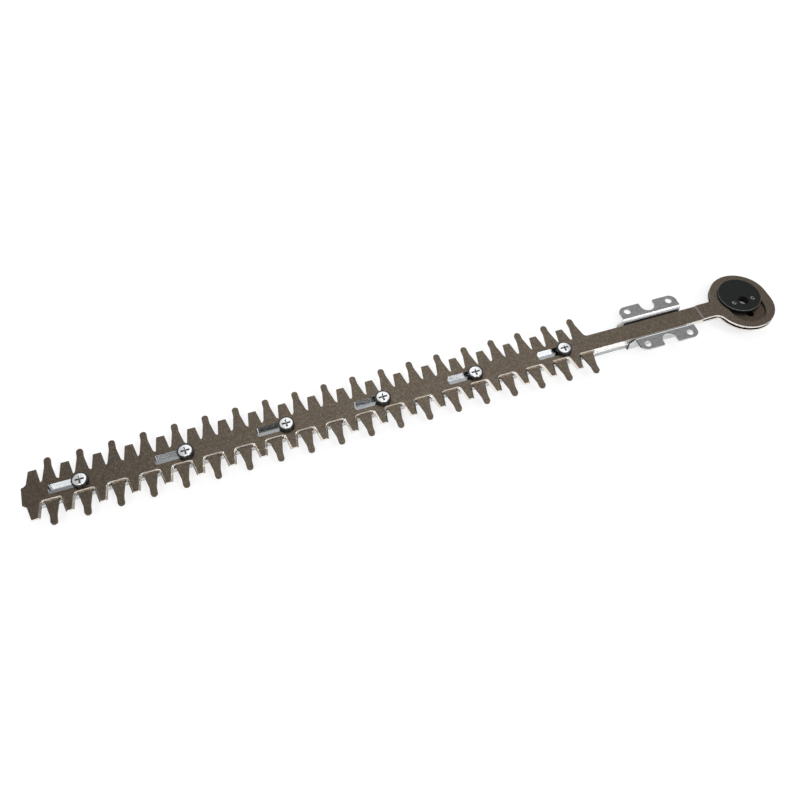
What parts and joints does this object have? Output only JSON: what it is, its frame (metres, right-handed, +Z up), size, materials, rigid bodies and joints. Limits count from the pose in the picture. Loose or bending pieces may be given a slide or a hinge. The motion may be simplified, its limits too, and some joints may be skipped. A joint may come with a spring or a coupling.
{
  "type": "hedge trimmer blade",
  "caption": "Double-action hedge trimmer blade set: two toothed blades sliding on a guide bar with a bolt-on bracket, driven by an eccentric pair in slotted eyes.",
  "frame": {"origin": "centre of the four bracket holes, on the top face of the bracket's ears", "axes": "+X along the blades towards the eyes, +Z up, away from the guide bar"},
  "size_m": [0.7202, 0.0682, 0.0183],
  "materials": {
    "blade_steel": "satin brown-grey nickel plate, fine ground grain, bare bright bevels",
    "bar_aluminium": "bright drawn bar",
    "zinc_sheet": "zinc plated sheet",
    "zinc_steel": "bright zinc plate",
    "black_steel": "black oxide, matt",
    "brown_steel": "oiled brown steel",
    "spring_steel": "bright spring steel",
    "black_bush": "black oxide, semi-gloss"
  },
  "bodies": {
    "guide": {"guide_bar": "bar_aluminium", "mounting_bracket": "zinc_sheet", "bracket_rivets": "zinc_steel", "guide_screws": "zinc_steel", "lock_nuts": "zinc_steel", "guide_bush_1": "black_bush", "guide_bush_2": "black_bush", "guide_bush_3": "black_bush", "guide_bush_4": "black_bush", "guide_bush_5": "black_bush", "guide_bush_6": "black_bush"},
    "upper": {"upper_blade": "blade_steel"},
    "lower": {"lower_blade": "blade_steel"},
    "crank": {"upper_eccentric": "black_steel", "lower_eccentric": "brown_steel", "roll_pins": "spring_steel"}
  },
  "joints": [
    {"name": "blade_pair_slide", "type": "slide", "parent": "guide", "child": "upper", "axis": [1, 0, 0], "range_m": [0, 0.01]},
    {"name": "crank_turn", "type": "hinge", "parent": "upper", "child": "crank", "pos_m": [0.0932, 0.0061, -0.004], "axis": [0, 0, 1], "range_deg": [0, 45]},
    {"name": "lower_blade_slide", "type": "slide", "parent": "upper", "child": "lower", "axis": [1, 0, 0], "range_m": [0, 0.011]}
  ],
  "couplings": [
    {"joint": "crank_turn", "follows": "lower_blade_slide", "rad_per_m": 71.12}
  ]
}
